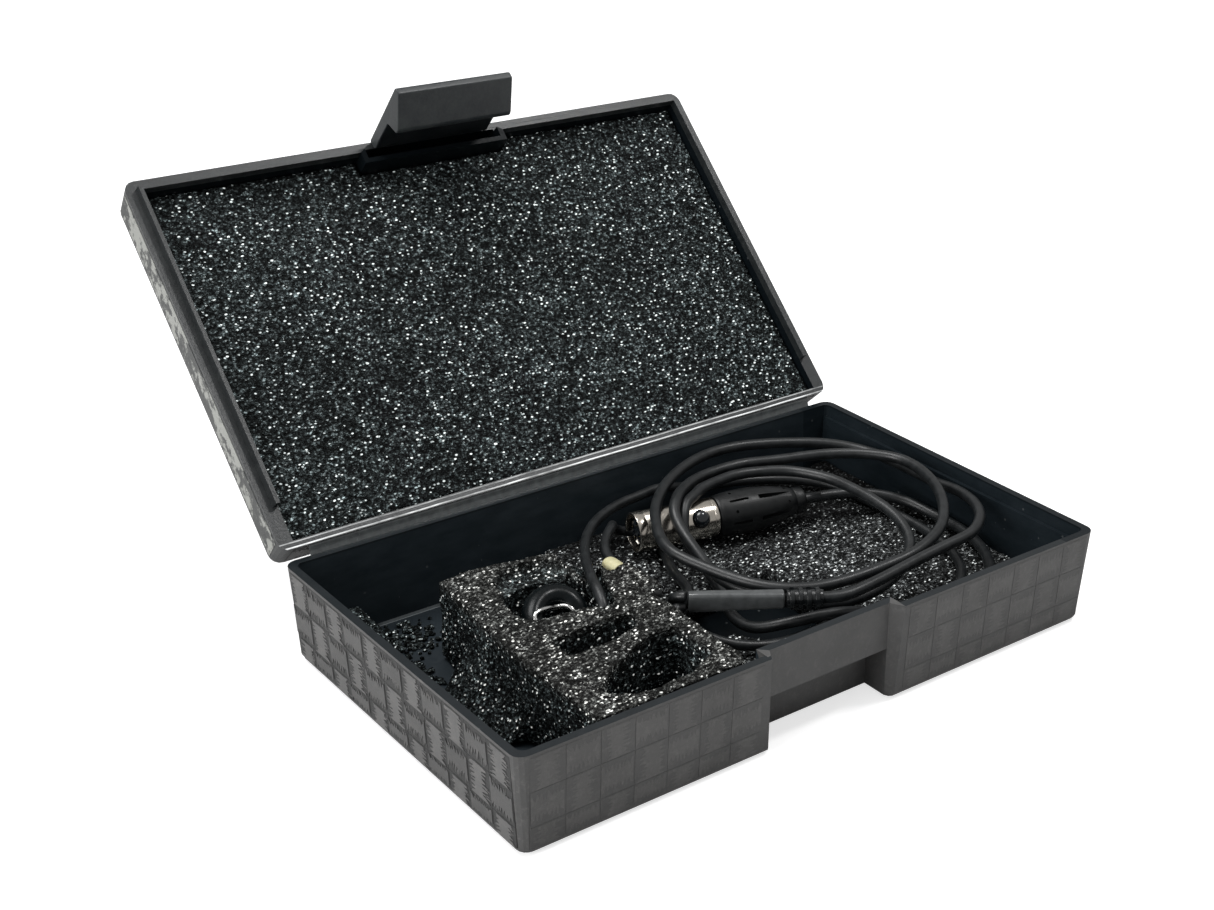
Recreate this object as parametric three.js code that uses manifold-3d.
// Ear-worn (headset) microphone with its cable and connector, packed in a hinged, foam-lined case.
// Millimetres, +Z up. Origin: centre of the case's underside. +X runs along the case's long side,
// +Y points to the hinge, so the front is -Y. The lid stands open at its rest angle.
import * as THREE from 'three';
import { mergeVertices } from 'three/addons/utils/BufferGeometryUtils.js';
import Module from 'manifold-3d';

const wasm = await Module();
wasm.setup();
const { degToRad } = THREE.MathUtils;

// ---------------------------------------------------------------- case dimensions
const CASE_L = 165.0;        // outside length at the rim
const CASE_W = 99.7;         // outside width at the rim
const BASE_H = 24.2;         // height of the tray
const LID_H = 10.6;          // depth of the lid
const DRAFT = Math.tan(degToRad(2.65));
const WALL = 2.0;            // wall at the rim
const STEP = 3.0;            // wall below the inner step
const STEP_DROP = 3.4;       // inner step below the rim
const FLOOR = 1.8;           // also the lid's top plate
const CORNER_R = 2.8;
const EDGE_R = 1.1;          // rounding of the outer bottom and top edges
const EDGE_MID = EDGE_R * 0.29;        // inset and height of the rounding's middle ring
const EDGE_MID_CORNER = CORNER_R - 0.3;
const EDGE_END_CORNER = CORNER_R - 0.9;
const SEAM = 0.3;            // gap between the closed rims
const FRONT = -CASE_W / 2;
const BACK = CASE_W / 2;
const RIM = BASE_H + SEAM;   // the closed lid's rim plane
const LID_TOP = RIM + LID_H;
const PLATE = LID_TOP - FLOOR; // inner face of the lid's top plate

const LIP_IN = 2.45;         // locating lip, outer face from the outside edge
const LIP_OUT = 3.7;         // locating lip, inner face
const LIP_Z = RIM - 2.3;     // lip's free edge
const LIP_TAPER = 0.25;      // inward lean of the lip's outer face
const LIP_BACK = BACK - 11;  // the lip stops here, short of the hinge side

const HINGE = new THREE.Vector3(0, BACK + 0.7, BASE_H + 1.4);
const OPEN_DEG = 135.84;     // lid angle at rest, from closed

const RECESS_X = 17.4;       // half width of the latch recess, inside
const RECESS_MOUTH_X = RECESS_X + 2.4; // the same 1 mm outside the front face
const RECESS_Y = FRONT + 3.2; // back of the latch recess
const RECESS_WALL = 2;
const LEDGE_Z = 12.3;        // underside of the ledge the hook catches
const LEDGE_T = 1.8;
const UNDER_Y = FRONT + 9.85; // back of the space under the ledge
const JOG_X = RECESS_MOUTH_X; // the lid's lip steps inward between these
const JOG_Y = RECESS_Y + 2.35;
const JOG_SIDE_T = 1.4;
const JOG_BACK_T = 1.3;

const LATCH_AXIS = new THREE.Vector3(0, FRONT + 0.3, RIM - 0.5);
const LATCH_FILM_X = 15.5;   // half width of the latch's hinge film
const LATCH_FILM_R = 0.2;
const FLAP_X = 16.7;         // half width of the latch flap
const FLAP_LEAN = 1.7;       // outward lean of the flap at rest, degrees

const FOAM_GAP = 0.3;        // foam off the floor and off the lid's plate
const FOAM_Z = FLOOR + FOAM_GAP;
const PAD_Z = 9.0;           // top of the foam pad under the cable
const BLOCK_Z = 23.0;        // top of the foam block
const LID_FOAM_DROP = 1.5;   // lid foam above the closed lid's rim plane
const BEYOND = 100;          // cuts open to one side end this far out

// ---------------------------------------------------------------- finishes
const PLASTIC = 0x1b1c1d;
const RUBBER = 0x0d0d0e;
const NICKEL = 0xc8c4bb;
const FINISH = {
  case: { color: PLASTIC, roughness: 0.42 },
  film: { color: PLASTIC, roughness: 0.35 },
  flap: { color: PLASTIC, roughness: 0.4 },
  foam: { color: 0x151517, roughness: 0.95 },
  shell: { color: NICKEL, roughness: 0.22, metalness: 1 },
  bareMetal: { color: NICKEL, roughness: 0.3, metalness: 1 },
  wire: { color: NICKEL, roughness: 0.2, metalness: 1 },
  contact: { color: 0xc9a24a, roughness: 0.3, metalness: 1 },
  insert: { color: 0x121212, roughness: 0.5 },
  button: { color: 0x0c0c0c, roughness: 0.12 },
  clamp: { color: 0x26262a, roughness: 0.5 },
  boot: { color: RUBBER, roughness: 0.45 },
  cable: { color: RUBBER, roughness: 0.38 },
  molding: { color: RUBBER, roughness: 0.35 },
  sleeve: { color: RUBBER, roughness: 0.2 },
  cap: { color: 0xd8d3a6, roughness: 0.45 },
  hook: { color: 0x0b0c0e, roughness: 0.08 },
};

// ---------------------------------------------------------------- solids
function solid(geometry) {
  let welded = geometry.index ? geometry.toNonIndexed() : geometry.clone();
  for (const name of Object.keys(welded.attributes)) {
    if (name !== 'position') welded.deleteAttribute(name);
  }
  welded = mergeVertices(welded, 1e-4);
  const index = welded.index.array;
  const triangles = [];
  for (let i = 0; i < index.length; i += 3) {
    const [a, b, c] = [index[i], index[i + 1], index[i + 2]];
    if (a !== b && b !== c && a !== c) triangles.push(a, b, c);
  }
  return new wasm.Manifold(new wasm.Mesh({
    numProp: 3,
    vertProperties: new Float32Array(welded.attributes.position.array),
    triVerts: new Uint32Array(triangles),
  }));
}

function indexedGeometry(positions, index) {
  const geometry = new THREE.BufferGeometry();
  geometry.setAttribute('position', new THREE.BufferAttribute(new Float32Array(positions), 3));
  geometry.setIndex(index);
  return geometry;
}

const around = (half) => [-half, half];

// a box from its [from, to] span on each axis
function box([x0, x1], [y0, y1], [z0, z1]) {
  const geometry = new THREE.BoxGeometry(x1 - x0, y1 - y0, z1 - z0);
  geometry.translate((x0 + x1) / 2, (y0 + y1) / 2, (z0 + z1) / 2);
  return solid(geometry);
}

// a ring of points round a rounded rectangle, set in from the case's outside at the rim
function caseRing(inset, z, radius) {
  const x = CASE_L / 2 - inset - radius;
  const y = CASE_W / 2 - inset - radius;
  const segments = 4;
  const ring = [];
  for (const [sx, sy, start] of [[1, 1, 0], [-1, 1, 90], [-1, -1, 180], [1, -1, 270]]) {
    for (let i = 0; i <= segments; i++) {
      const angle = degToRad(start + (90 * i) / segments);
      ring.push([sx * x + radius * Math.cos(angle), sy * y + radius * Math.sin(angle), z]);
    }
  }
  return ring;
}

const rectRing = (x, front, back, z) => [[x, back, z], [-x, back, z], [-x, front, z], [x, front, z]];

// points round an ellipse in plan
function oval(centreX, centreY, radiusX, radiusY, count) {
  return Array.from({ length: count }, (_, i) => {
    const angle = (2 * Math.PI * i) / count;
    return [centreX + radiusX * Math.cos(angle), centreY + radiusY * Math.sin(angle)];
  });
}

// a closed solid through rings of equal point count, capped flat at both ends
function loft(rings) {
  const count = rings[0].length;
  const positions = rings.flat(2);
  const addCentre = (ring) => {
    const centre = [0, 0, 0];
    for (const point of ring) {
      for (let k = 0; k < 3; k++) centre[k] += point[k] / count;
    }
    positions.push(...centre);
    return positions.length / 3 - 1;
  };
  const firstCentre = addCentre(rings[0]);
  const lastCentre = addCentre(rings[rings.length - 1]);
  const index = [];
  for (let k = 0; k < rings.length - 1; k++) {
    for (let i = 0; i < count; i++) {
      const here = k * count + i;
      const next = k * count + ((i + 1) % count);
      index.push(here, next, next + count, here, next + count, here + count);
    }
  }
  const last = (rings.length - 1) * count;
  for (let i = 0; i < count; i++) {
    const next = (i + 1) % count;
    index.push(firstCentre, next, i);
    index.push(lastCentre, last + i, last + next);
  }
  return solid(indexedGeometry(positions, index));
}

const outlineShape = (points) => new THREE.Shape(points.map(([x, y]) => new THREE.Vector2(x, y)));

// prism from a plan outline
function prism(points, z0, z1) {
  const settings = { depth: z1 - z0, bevelEnabled: false, steps: 1 };
  const geometry = new THREE.ExtrudeGeometry(outlineShape(points), settings);
  geometry.translate(0, 0, z0);
  return solid(geometry);
}

// solid of revolution about +X from [radius, x] pairs; a hollow profile closes on itself
function turned(profile, segments = 24) {
  const points = profile.map(([radius, x]) => new THREE.Vector2(radius, x));
  const geometry = new THREE.LatheGeometry(points, segments);
  geometry.rotateZ(-Math.PI / 2); // the lathe's +Y becomes +X
  const result = solid(geometry);
  if (result.volume() >= 0) return result;
  // the profile ran the other way round: turn the faces outward
  const index = geometry.index.array;
  for (let i = 0; i < index.length; i += 3) {
    [index[i + 1], index[i + 2]] = [index[i + 2], index[i + 1]];
  }
  return solid(geometry);
}

const rod = (radius, x0, x1, segments) =>
  turned([[0, x0], [radius, x0], [radius, x1], [0, x1]], segments);

// a round cable along a smooth centreline
function cable(path, radius, steps, sides = 8) {
  const points = path.map((point) => new THREE.Vector3(...point));
  const curve = new THREE.CatmullRomCurve3(points, false, 'centripetal');
  curve.arcLengthDivisions = 1200;
  const section = outlineShape(oval(0, 0, radius, radius, sides));
  section.closePath();
  const settings = { steps, bevelEnabled: false, extrudePath: curve };
  return solid(new THREE.ExtrudeGeometry(section, settings));
}

// ---------------------------------------------------------------- scene helpers
const root = new THREE.Group();

function addMesh(name, manifold, finish, parent = root) {
  const { vertProperties, triVerts } = manifold.getMesh();
  const geometry = indexedGeometry(vertProperties, Array.from(triVerts));
  geometry.computeVertexNormals();
  const mesh = new THREE.Mesh(geometry, new THREE.MeshStandardMaterial(finish));
  mesh.name = name;
  parent.add(mesh);
  return mesh;
}

// a group whose +X lies along axis and whose +Z is up
function addFrame(position, axis, up) {
  const group = new THREE.Group();
  group.position.copy(position);
  const across = new THREE.Vector3().crossVectors(up, axis);
  group.quaternion.setFromRotationMatrix(new THREE.Matrix4().makeBasis(axis, across, up));
  root.add(group);
  return group;
}

// ---------------------------------------------------------------- tray
const trayLean = (z) => (BASE_H - z) * DRAFT; // how far the wall has moved in at height z
const trayRing = (inset, z, radius) => caseRing(inset + trayLean(z), z, radius);

function caseBase() {
  const body = loft([
    trayRing(EDGE_R, 0, EDGE_END_CORNER),
    trayRing(EDGE_MID, EDGE_MID, EDGE_MID_CORNER),
    trayRing(0, EDGE_R, CORNER_R),
    trayRing(0, BASE_H, CORNER_R),
  ]);
  const stepZ = BASE_H - STEP_DROP;
  const hollowLow = loft([trayRing(STEP, FLOOR, 0.9), trayRing(STEP, stepZ + 0.01, 1.3)]);
  const hollowHigh = loft([trayRing(WALL, stepZ, 1.6), trayRing(WALL, BASE_H + 1, 1.8)]);
  // the step runs round the front and the sides; the hinge side is plain down to the floor
  const hollowBackFrom = 30;
  const hollowBack = loft([FLOOR, BASE_H + 1].map((z) => {
    const lean = trayLean(z);
    return rectRing(CASE_L / 2 - STEP - lean, hollowBackFrom, BACK - WALL - lean, z);
  }));
  // solid round the latch recess and the space under its ledge
  const bulgeX = around(RECESS_X + RECESS_WALL);
  const bulge = box(bulgeX, [FRONT - 0.5, RECESS_Y + RECESS_WALL], [0, BASE_H])
    .add(box(bulgeX, [FRONT - 0.5, UNDER_Y + RECESS_WALL], [0, LEDGE_Z + LEDGE_T]))
    .intersect(body);
  const recess = prism([
    [-RECESS_X, RECESS_Y], [-RECESS_MOUTH_X, FRONT - 1],
    [RECESS_MOUTH_X, FRONT - 1], [RECESS_X, RECESS_Y],
  ], -1, BASE_H + 1);
  const under = box(around(RECESS_X), [FRONT - 1, UNDER_Y], [-1, LEDGE_Z]);
  return body.subtract(hollowLow).subtract(hollowHigh).subtract(hollowBack)
    .add(bulge).subtract(recess).subtract(under);
}

// ---------------------------------------------------------------- foam in the tray
const PAD_LEFT = -15;
const PAD_FIT = 0.4;         // pad from the tray's wall
const PAD_CORNER = 1.4;      // the same at the cut corners
const PAD_LATCH_GAP = 2.4;   // pad from the latch recess
// openings in the pad: plan outline [x, y]
const PAD_FLOOR_CUT = [[-14.2, 4], [24, 4], [24, -31], [8, -31], [-2, -16], [-14.2, -12]];
const PAD_LEAD_GROOVE = [
  [3.4, 19.2], [6.6, 17.6], [10.2, 25], [12.2, 30.6], [11.8, 36],
  [8.8, 41.2], [5.6, 38.6], [7.2, 34.6], [7.4, 31], [5.6, 26],
];
const PAD_GROOVE_Z = 7.2;

// the pad lies on the floor right (+X) of the block, with a cut-out over the bare floor
function baseFoamPad() {
  const edge = (z) => {
    const x = CASE_L / 2 - STEP - trayLean(z);
    const y = CASE_W / 2 - STEP - trayLean(z);
    return [
      [x - PAD_FIT, y - PAD_CORNER, z], [x - PAD_CORNER, y - PAD_FIT, z],
      [PAD_LEFT, y - PAD_FIT, z], [PAD_LEFT, 22, z], [PAD_LEFT, -34.4, z],
      [PAD_LEFT, 1 - y, z], [PAD_LEFT + 3, PAD_FIT - y, z],
      [x - PAD_CORNER, PAD_FIT - y, z], [x - PAD_FIT, PAD_CORNER - y, z],
    ];
  };
  const latchX = around(RECESS_X + PAD_LATCH_GAP);
  return loft([edge(FOAM_Z), edge(PAD_Z)])
    .subtract(box(latchX, [-BEYOND, UNDER_Y + PAD_LATCH_GAP], around(BEYOND)))
    .subtract(prism(PAD_FLOOR_CUT, -BEYOND, BEYOND))
    .subtract(box([-BEYOND, -9], [-9, 3], around(BEYOND)))
    .subtract(prism(PAD_LEAD_GROOVE, PAD_GROOVE_Z, BEYOND)); // the capsule lead presses in here
}

// the block's plan outline [x, y]
const BLOCK_PLAN = [
  [-57.2, 25.2], [-47.4, 26], [-40, 24.9], [-30.3, 22.8], [-22.8, 19.9], [-21.6, 12.5],
  [-17.2, 8.6], [-16.2, 6], [-16.2, -1.5], [-19.6, -4.6], [-19.2, -12], [-19.6, -24],
  [-20.4, -36.7], [-20.6, -45.4], [-60.2, -45.4], [-60.8, -20], [-59.2, 4],
];
// flare low on the block's left (-X) side: [outer x, x at its two ends, z]
const BLOCK_FLARE = [[-66.2, -57, FOAM_Z], [-59, -58, 12.5]];
// pockets open to the top: floor z and plan outline [x, y]
const BLOCK_POCKETS = [
  { floor: 6, outline: oval(-39.6, 3.2, 10.4, 10.8, 14) }, // ear hook
  { floor: 6, outline: oval(-31.7, -3.2, 3.0, 3.5, 12) },  // its lead turns back up here
  { floor: 18.9, outline: [                                // channel for its lead
    [-31.2, -6.4], [-28.3, -4.2], [-26.9, 1.2], [-25, 5.6], [-21.6, 12.4],
    [-19, 12], [-19, 24], [-27, 24], [-28.4, 7.2], [-31.2, 0],
  ] },
  { floor: 13, outline: [[-31.2, -6.4], [-28.3, -4.2], [-27.2, 0.6], [-31.2, 0.6]] },
  { floor: 15, outline: [                                  // shallow pocket
    [-50.4, -13.4], [-49.6, -20.2], [-43, -20.4], [-31.6, -17.6], [-29.4, -13], [-37.4, -12.6],
  ] },
  { floor: 5, outline: [                                   // deep pocket
    [-52.4, -36.4], [-47.4, -31.2], [-30.4, -23.2], [-25.6, -24.4],
    [-25.6, -36.4], [-34.2, -40.4], [-48, -41],
  ] },
];

// the block stands at full height, with pockets cut for the microphone and its small parts
function foamBlock() {
  const flare = loft(BLOCK_FLARE.map(([x, endX, z]) => [
    [endX, 12, z], [x, 11, z], [x - 0.8, -2, z], [x + 1.2, -17, z], [endX, -19, z],
  ]));
  let block = prism(BLOCK_PLAN, FOAM_Z, BLOCK_Z).add(flare);
  for (const { floor, outline } of BLOCK_POCKETS) {
    block = block.subtract(prism(outline, floor, BEYOND));
  }
  const capsuleSlot = box([-21.4, -10], [-7, 30], [17.5, BEYOND]);
  const lipClearance = box([-21.7, -10], [-BEYOND, FRONT + 7.4], [21.6, BEYOND]);
  return block.subtract(capsuleSlot).subtract(lipClearance);
}

// loose piece in the back left corner; plan outlines [x, y] at its foot and top
const REMNANT_FOOT = [[-61, 44.5], [-77.6, 44.5], [-77.8, 35], [-76.8, 26], [-70, 27.5], [-63, 35.5]];
const REMNANT_TOP = [
  [-67.5, 44.2], [-77.8, 44.2], [-77.9, 38], [-77.6, 32.5], [-74.4, 34.5], [-69.5, 39.5],
];
const REMNANT_Z = 11.5;

function foamRemnant() {
  const ringAt = (outline, z) => outline.map(([x, y]) => [x, y, z]);
  return loft([ringAt(REMNANT_FOOT, FOAM_Z), ringAt(REMNANT_TOP, REMNANT_Z)]);
}

// living hinge: a thin strip up the tray's back wall, ending in a bead on the hinge axis
const HINGE_FILM_X = 74;     // half length
// section [y, z] from the hinge axis
const HINGE_SECTION = [
  [-0.42, -3.4], [-0.05, -3.4], [-0.05, -0.62], [0.24, -0.34], [0.36, 0],
  [0.26, 0.27], [0, 0.38], [-0.26, 0.27], [-0.4, 0], [-0.42, -0.5],
];
const hingeFilm = () => prism(HINGE_SECTION, -HINGE_FILM_X, HINGE_FILM_X).rotate([90, 0, 90]);

// ---------------------------------------------------------------- lid, modelled closed
const lidLean = (z) => (z - RIM) * DRAFT;
const lidRing = (inset, z, radius) => caseRing(inset + lidLean(z), z, radius);

// inside of the lid: thick walls at the front and sides, a plain wall at the hinge
function lidInside(gap, z) {
  const inset = lidLean(z) + gap;
  return rectRing(CASE_L / 2 - LIP_OUT - inset, FRONT + LIP_OUT + inset, BACK - WALL - inset, z);
}

function lidLip() {
  const ring = (inset, z) => rectRing(CASE_L / 2 - inset, FRONT + inset, LIP_BACK, z);
  // both lofts end on the same back plane, so the open back is trimmed clean
  return loft([ring(LIP_IN + LIP_TAPER, LIP_Z), ring(LIP_IN, RIM + 0.5)])
    .subtract(loft([ring(LIP_OUT, LIP_Z - 1), ring(LIP_OUT, RIM + 1)]))
    .subtract(box(around(60), [LIP_BACK - 9, 60], [0, 60]))
    .subtract(box(around(100), [LIP_BACK - 0.01, 60], [0, 60]));
}

function caseLid() {
  const body = loft([
    lidRing(0, RIM, CORNER_R),
    lidRing(0, LID_TOP - EDGE_R, CORNER_R),
    lidRing(EDGE_MID, LID_TOP - EDGE_MID, EDGE_MID_CORNER),
    lidRing(EDGE_R, LID_TOP, EDGE_END_CORNER),
  ]);
  const hollow = loft([lidInside(0, RIM - 1), lidInside(0, PLATE)]);
  // behind the latch the lip steps inward to clear the tray's recess
  const outer = JOG_X + JOG_SIDE_T;
  const wallZ = [LIP_Z, PLATE + 0.5];
  const sideY = [FRONT + LIP_IN + 0.6, JOG_Y + JOG_BACK_T];
  const jogWall = box(around(outer), [JOG_Y, JOG_Y + JOG_BACK_T], wallZ)
    .add(box([-outer, -JOG_X], sideY, wallZ))
    .add(box([JOG_X, outer], sideY, wallZ));
  const jogGap = box(around(JOG_X), [FRONT + WALL, JOG_Y], [LIP_Z - 1, PLATE]);
  return body.subtract(hollow).add(lidLip()).subtract(jogGap).add(jogWall);
}

function lidFoamPad() {
  const wallGap = 0.35;
  const jogGap = 0.4;
  const latchY = [-BEYOND, JOG_Y + JOG_BACK_T + jogGap];
  return loft([lidInside(wallGap, RIM + LID_FOAM_DROP), lidInside(wallGap, PLATE - FOAM_GAP)])
    .subtract(box(around(JOG_X + JOG_SIDE_T + jogGap), latchY, around(BEYOND)));
}

// latch section [outward, up] from its axis; outward is away from the case, towards -Y
const FLAP_SECTION = [
  [0.25, -0.55], [0.3, -23.0], [-0.1, -23.35], [-1.75, -23.4], [-7.1, -15.6],
  [-7.25, -14.6], [-6.9, -13.9], [-2.85, -12.3], [-2.75, -1.2], [-2.2, -0.55],
];
const latchFlap = () => prism(FLAP_SECTION, -FLAP_X, FLAP_X).rotate([90, 0, -90]);

// ---------------------------------------------------------------- connector
// built along +X from its open end, with its button on +Z
const CON_AT = new THREE.Vector3(1.35, 29.74, 15.2); // centre of the open end
const CON_YAW = degToRad(-12.5);  // its axis in plan
const CON_ROLL = degToRad(29.5);  // its button above horizontal
const SHELL_R = 5.1;
const SHELL_L = 22.0;
const CON_L = 47.6;
const BUTTON_X = 16.75;
const CABLE_BORE_R = 1.75;   // bore of the boot and the clamp
const PINS = [[1.35, 0.95], [-1.35, 0.95], [-1.35, -1.75], [1.35, -1.75]]; // [y, z]

// turned profiles: [radius, x]
const SHELL_PROFILE = [
  [4.5, 0], [4.95, 0], [SHELL_R, 0.25], [SHELL_R, SHELL_L - 0.2], [4.95, SHELL_L],
  [3.35, SHELL_L], [3.35, SHELL_L + 6], [3.0, SHELL_L + 6], [3.0, SHELL_L - 0.6],
  [4.5, SHELL_L - 0.6], [4.5, 0],
];
const INSERT_PROFILE = [
  [0, 1.0], [3.1, 1.0], [3.2, 1.2], [3.2, 7.4], [4.2, 7.4], [4.2, 20.8], [0, 20.8],
];
const CONTACT_PROFILE = [[0, 6], [0.25, 6], [0.25, 1.4], [0.45, 1.4], [0.45, 24.4], [0, 24.4]];
const BUTTON_PROFILE = [
  [0, 5.1], [1.15, 5.1], [1.15, 3.2], [2.65, 3.2], [2.65, 3.4],
  [2.15, 3.5], [2.15, 5.5], [1.85, 6.1], [1.2, 6.5], [0, 6.65],
];
const BOOT_PROFILE = [
  [CABLE_BORE_R, CON_L], [3.1, CON_L], [3.45, CON_L - 0.4], [3.55, CON_L - 2.6],
  [3.45, CON_L - 3.0], [4.65, 41], [5.5, 36], [5.85, 31], [5.75, 27], [5.2, SHELL_L + 0.3],
  [3.65, SHELL_L + 0.3], [3.65, 36.5], [CABLE_BORE_R, 40.5], [CABLE_BORE_R, CON_L],
];
const CLAMP_PROFILE = [
  [CABLE_BORE_R, 28.6], [3.0, 28.6], [3.25, 30], [3.25, 34.6], [2.6, 36.2],
  [CABLE_BORE_R, 36.2], [CABLE_BORE_R, 28.6],
];
// bent leaf behind the button: section [x, z]
const LEAF_SECTION = [
  [10.5, 2.15], [16.05, 2.15], [16.85, 3.8], [17.25, 3.8],
  [17.25, 4.0], [16.7, 4.0], [15.91, 2.35], [10.5, 2.35],
];
const LEAF_HALF_WIDTH = 0.8;

// stands a part turned about +X up on +Z, at the button's place
const atButton = (part) => part.rotate([0, -90, 0]).translate([BUTTON_X, 0, 0]);

function connectorShell() {
  const keyway = box([-1, 6.5], around(0.7), [-6, -4]);
  return turned(SHELL_PROFILE, 32).subtract(atButton(rod(2.4, 3, 8, 20))).subtract(keyway);
}

function connectorInsert() {
  const buttonFlat = box([7.3, 24.5], around(6), [1.95, 6]);
  let insert = turned(INSERT_PROFILE).subtract(buttonFlat);
  for (const [y, z] of PINS) insert = insert.subtract(rod(0.75, -1, 26, 10).translate([0, y, z]));
  return insert;
}

function buttonSpring() {
  return prism(LEAF_SECTION, -LEAF_HALF_WIDTH, LEAF_HALF_WIDTH).rotate([90, 0, 0]);
}

function connectorBoot() {
  const grooves = 6;
  let boot = turned(BOOT_PROFILE);
  for (let i = 0; i < grooves; i++) {
    const groove = box([32.5, 43.5], around(0.6), [3.9, 7]);
    boot = boot.subtract(groove.rotate([30 + (360 / grooves) * i, 0, 0]));
  }
  return boot;
}

function cableClamp() {
  const slit = box([28, 37], around(0.35), [0, 5]);
  return turned(CLAMP_PROFILE, 20).subtract(slit);
}

function addConnector() {
  const axis = new THREE.Vector3(Math.cos(CON_YAW), Math.sin(CON_YAW), 0);
  const side = new THREE.Vector3(axis.y, -axis.x, 0); // horizontal, towards the front of the case
  const up = side.multiplyScalar(Math.cos(CON_ROLL));
  up.add(new THREE.Vector3(0, 0, Math.sin(CON_ROLL)));
  const group = addFrame(CON_AT, axis, up);
  addMesh('connector_shell', connectorShell(), FINISH.shell, group);
  addMesh('connector_insert', connectorInsert(), FINISH.insert, group);
  PINS.forEach(([y, z], i) => {
    const contact = turned(CONTACT_PROFILE, 10).translate([0, y, z]);
    addMesh(`contact_${i + 1}`, contact, FINISH.contact, group);
  });
  addMesh('release_button', atButton(turned(BUTTON_PROFILE, 20)), FINISH.button, group);
  addMesh('button_spring', buttonSpring(), FINISH.bareMetal, group);
  addMesh('connector_boot', connectorBoot(), FINISH.boot, group);
  addMesh('cable_clamp', cableClamp(), FINISH.clamp, group);
}

// ---------------------------------------------------------------- cable and leads
// centrelines [x, y, z]
const MAIN_R = 1.4;
const MAIN_PATH = [
  [30.1,23.37,15.2], [36.5,21.95,15.2], [42,20.73,15.2], [47.8,19.44,15.2], [52.6,18.3,15.1],
  [58.6,16.8,14.8], [66.2,13.4,14.1], [72.4,7,12.8], [75.3,-2,11.3], [75,-15,10.9],
  [70.5,-26,10.8], [62,-34.5,10.8], [50,-38.8,10.9], [36,-37.6,11.2], [26,-33.6,13],
  [16.5,-29.4,14], [7.5,-24.5,12.4], [1.8,-17.5,9.6], [2.2,-9,9.2], [5.6,-0.5,10.6],
  [8,7,11.4], [9,13.4,13], [9.4,18,15], [10.2,20.6,17.2], [11.6,22.4,19.9],
  [14.2,24.9,21.7], [17.6,26.3,22], [21.8,28.6,22], [27.4,30,21.8], [35,31,21.4],
  [42.3,29.3,21], [47.5,26.2,21], [51.2,21.3,21], [53.9,15.2,21], [54.7,7,21],
  [55,-1.5,20.6], [54.9,-8.1,19.6], [53.4,-14,18.4], [50.6,-18.7,17.2], [46.2,-22.3,16.2],
  [40.2,-25.3,15], [31.9,-27.6,14.6], [22.9,-27.8,14.4], [16,-25,14.6], [9.7,-19.7,15],
  [6,-13.4,15.4], [3.7,-6.4,15.6], [3.7,0.6,16.2], [5.1,7.4,17.2], [6.2,13.9,18.8],
  [6.9,18.4,20.6], [7.9,21.4,22.1], [10.8,24.7,23.3], [17.5,30.6,22.4], [26,35.3,21.4],
  [34.4,36.3,21.2], [41.5,35.5,21.2], [48.8,32.5,21.2], [53.3,30.8,21.3], [60.5,27.5,21.6],
  [66.5,22.7,22.2], [71.5,16.8,22.6], [74.6,11.2,22.6], [74.6,4.6,22.6], [72.3,-3.3,22.5],
  [68.6,-10.3,22.2], [64,-16.2,21.8], [57.4,-22,21.3], [50.4,-25.2,20.8], [43.1,-26.9,20.2],
  [34.1,-26.6,19.4], [23.9,-25.7,18.9], [16.5,-24,18.7], [10.2,-20.7,18.7], [4.9,-14.7,18.9],
  [1.7,-7.9,19.2], [-0.5,-1.7,19.6], [-2.4,3.6,20.2], [-3.2,8.3,20.8], [-1.4,14.9,21.4],
  [3.7,23.6,21.9], [10.9,31.6,22.2], [18.9,37.6,22.4], [28.4,42.1,22.4], [36.7,44.3,22.2],
  [44.3,44.1,22], [52.5,41.9,21.6], [60,38.8,21.1], [67.1,35,20.5], [71.8,30.9,20],
  [75.1,26.3,19.5], [76.9,20.7,19.3], [77.2,13.3,19.3], [77.2,6.8,19.3], [77,0.3,19.4],
  [76.7,-8.5,20.4], [74.9,-15.6,20.8], [71.7,-21.3,20.8], [66.8,-25.7,20.8], [61.1,-28.4,20.8],
  [53.3,-29.3,20.8], [42.7,-30.3,20.6], [32.4,-31.6,20.4], [24,-32.4,20.2], [18.6,-32.6,20],
  [14.9,-31.6,19.8], [12.1,-29.9,19.8], [8.1,-27.3,19.8], [5,-25.3,19.8],
];
const LEAD_R = 1.25;         // both leads
const EAR_PATH = [
  [-33.1,-1.9,10.6], [-32.5,-3.9,9.6], [-31.1,-4.7,11.6], [-30.5,-4.4,15.2], [-30,-3.2,18.8],
  [-28.6,1.4,21], [-26.7,6.4,21], [-23.4,13.4,20.6], [-19.1,20.9,19.6], [-12.4,29.7,18.6],
  [-4.6,36.7,17.8], [4.9,41.5,17.2], [13.6,43.4,16.8], [20.5,44.7,16.4], [33,43.8,13.6],
  [46,42.3,12.2], [58,37.2,11.2], [66,28.5,10.7], [68,18,10.4], [68.8,6,10.4],
  [68.2,-8,10.4], [65.4,-19,10.4], [60.4,-27.4,10.4], [52,-33.4,10.4], [42,-34,10.6],
  [31,-31.5,11.4], [20,-28,10.5], [9,-28.6,10.4], [-2,-27.2,10.8], [-10.5,-23.5,12.6],
  [-16,-19,15.6], [-17.8,-13.8,17.8], [-16.4,-11.7,18.8], [-14.35,-12.9,18.45],
];
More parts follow.
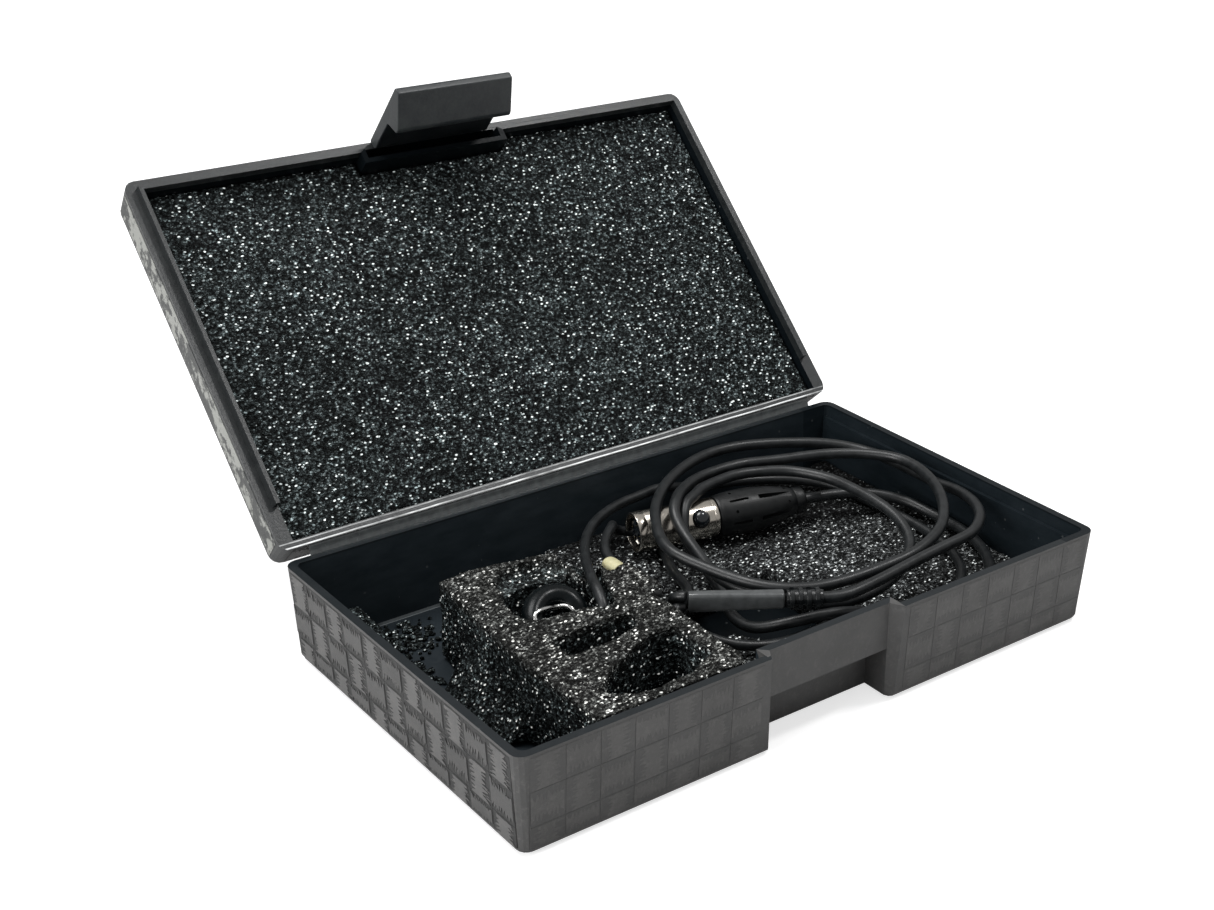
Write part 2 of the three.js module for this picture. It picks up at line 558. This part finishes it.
const CAPSULE_PATH = [
  [-14.2,-12.95,21.2], [-15.4,-12.1,21.2], [-15.8,-10.4,20.4], [-14.6,-8.4,17.9],
  [-12,-6.4,15.6], [-8,-4.4,14.2], [-4.6,-1.8,13.6], [-2.8,1.8,13.6], [-0.9,8.6,13],
  [2.2,15.6,12], [5.4,21,10.8], [8.2,26,9], [9.9,30.6,8.6], [9.4,35,9], [7,38.2,10.3],
  [3.4,38.8,11.4], [0.4,37.4,13.8], [-1.5,34.6,16.2], [-3.6,31.8,17.5], [-7.3,28.6,17.6],
  [-10.7,24.7,17.4], [-12.9,20.6,17.2], [-14,16,17], [-14.3,10,16.8], [-14.2,3,16.6],
  [-14.8,-2.4,17.4], [-16.8,-5.1,18.8], [-18.3,-3.2,19.4],
];

// ---------------------------------------------------------------- junction sleeve and relief
const SLEEVE_A = new THREE.Vector3(-13.8, -13.2, 19.8); // lead end
const SLEEVE_B = new THREE.Vector3(4.7, -25.1, 19.8);   // cable end
const SLEEVE_L = SLEEVE_A.distanceTo(SLEEVE_B);
// [x, width, height]
const SLEEVE_STATIONS = [
  [0, 2.5, 4.5], [0.4, 2.9, 4.9], [9, 3.1, 4.7],
  [SLEEVE_L - 0.4, 3.4, 4.1], [SLEEVE_L, 3.0, 3.7],
];
const RELIEF_X = SLEEVE_L + 0.9;
const RELIEF_BORE_R = 1.72;
const RIB_R = 2.62;
const RIB_ROOT_R = 2.1;
const RIB_PITCH = 1.95;
const RIB_COUNT = 4;

// superellipse across X
function sleeveRing([x, width, height]) {
  const exponent = 0.62;
  const bend = (value) => Math.sign(value) * Math.abs(value) ** exponent;
  return oval(0, 0, 1, 1, 20).map(([c, s]) => [x, (width / 2) * bend(c), (height / 2) * bend(s)]);
}

function strainRelief() {
  const profile = [[RELIEF_BORE_R, RELIEF_X - 0.3], [RIB_ROOT_R, RELIEF_X - 0.3]];
  for (let i = 0; i < RIB_COUNT; i++) {
    const x = RELIEF_X + RIB_PITCH * i;
    profile.push([RIB_ROOT_R, x + 0.3], [RIB_R, x + 0.4], [RIB_R, x + 1.35], [RIB_ROOT_R, x + 1.45]);
  }
  profile.push([2.0, RELIEF_X + 8.2], [RELIEF_BORE_R, RELIEF_X + 8.2], profile[0]);
  let relief = turned(profile, 18);
  // the ribs' upper corners are notched on alternate sides
  for (let i = 0; i < RIB_COUNT; i++) {
    const x = RELIEF_X + RIB_PITCH * i;
    const side = i % 2 === 0 ? [0.9, 4] : [-4, -0.9];
    relief = relief.subtract(box([x + 0.2, x + 1.6], side, [1.9, 4]));
  }
  return relief;
}

function addHarness() {
  const along = SLEEVE_B.clone().sub(SLEEVE_A).normalize();
  const group = addFrame(SLEEVE_A, along, new THREE.Vector3(0, 0, 1));
  addMesh('junction_sleeve', loft(SLEEVE_STATIONS.map(sleeveRing)), FINISH.sleeve, group);
  addMesh('cable_strain_relief', strainRelief(), FINISH.molding, group);
}

// ---------------------------------------------------------------- capsule
const CAPSULE_AT = new THREE.Vector3(-18.9, 12.4, 20.7); // the cap's nose
// turned profiles: [radius, x], from the nose towards the lead
const CAP_PROFILE = [
  [0, 0], [1.05, 0.22], [1.75, 0.85], [2.08, 1.9], [2.12, 5.4],
  [1.95, 5.6], [1.75, 5.6], [1.75, 1.9], [1.3, 1.15], [0, 0.85],
];
const CAPSULE_BODY_PROFILE = [
  [1.3, 2.6], [1.3, 6.0], [0, 6.0], [0, 14.6], [1.3, 14.6],
  [1.75, 13.2], [1.75, 6.3], [1.45, 6.0], [1.45, 2.6], [1.3, 2.6],
];

function addCapsule() {
  const axis = new THREE.Vector3(0.04, -1, -0.06).normalize(); // from the nose to the lead
  const up = new THREE.Vector3(0, 0, 1).addScaledVector(axis, -axis.z).normalize();
  const group = addFrame(CAPSULE_AT, axis, up);
  addMesh('capsule_cap', turned(CAP_PROFILE, 20), FINISH.cap, group);
  addMesh('capsule_element', rod(1.0, 1.5, 5.2, 14), FINISH.bareMetal, group);
  addMesh('capsule_body', turned(CAPSULE_BODY_PROFILE, 18), FINISH.molding, group);
}

// ---------------------------------------------------------------- ear hook in its pocket
// centrelines [x, y, z]
const HOOK_PATH = [
  [-45.0, -3.0, 12.4], [-45.8, 0.6, 15.6], [-44.6, 4.2, 18.2], [-41.4, 6.8, 19.6],
  [-37.6, 7.6, 19.9], [-34.6, 6.0, 19.3], [-33.4, 3.2, 17.6], [-33.3, 0.7, 14.8],
  [-33.3, -0.9, 12.3],
];
const HOOK_R = 2.15;
const HOOK_THICK_R = 2.85;   // its middle run
const WIRE_PATH = [
  [-46.4, -1.0, 18.9], [-46.2, 1.2, 20.7], [-44.7, 1.5, 21.0], [-42.6, 1.8, 20.8],
  [-40.3, 2.8, 19.9], [-38.5, 3.6, 19.1], [-37.2, 3.1, 19.3], [-36.3, 2.0, 19.4],
  [-35.6, 0.6, 18.4], [-35.7, -0.8, 16.4],
];
const WIRE_R = 0.55;

const earHook = () =>
  cable(HOOK_PATH, HOOK_R, 24, 10).add(cable(HOOK_PATH.slice(1, 7), HOOK_THICK_R, 16, 12));

// ---------------------------------------------------------------- assembly
function addLid() {
  const pivot = new THREE.Group();
  pivot.position.copy(HINGE);
  pivot.rotation.x = -degToRad(OPEN_DEG);
  root.add(pivot);
  const lid = new THREE.Group(); // back in the case's own frame
  lid.position.copy(HINGE).negate();
  pivot.add(lid);
  addMesh('case_lid', caseLid(), FINISH.case, lid);
  addMesh('lid_foam_pad', lidFoamPad(), FINISH.foam, lid);

  const latch = new THREE.Group();
  latch.position.copy(LATCH_AXIS);
  latch.rotation.x = -degToRad(FLAP_LEAN);
  lid.add(latch);
  addMesh('latch_flap', latchFlap(), FINISH.flap, latch);
  const film = rod(LATCH_FILM_R, -LATCH_FILM_X, LATCH_FILM_X, 8);
  addMesh('latch_hinge_film', film, FINISH.film, lid).position.copy(LATCH_AXIS);
}

addMesh('case_base', caseBase(), FINISH.case);
addMesh('base_foam_pad', baseFoamPad(), FINISH.foam);
addMesh('foam_block', foamBlock(), FINISH.foam);
addMesh('foam_remnant', foamRemnant(), FINISH.foam);
addMesh('lid_hinge_film', hingeFilm(), FINISH.film).position.copy(HINGE);
addLid();
addConnector();
addMesh('main_cable', cable(MAIN_PATH, MAIN_R, 226), FINISH.cable);
addMesh('ear_lead', cable(EAR_PATH, LEAD_R, 84), FINISH.cable);
addMesh('capsule_lead', cable(CAPSULE_PATH, LEAD_R, 40), FINISH.cable);
addHarness();
addCapsule();
addMesh('ear_hook', earHook(), FINISH.hook);
addMesh('hook_wire', cable(WIRE_PATH, WIRE_R, 24), FINISH.wire);

export default root;
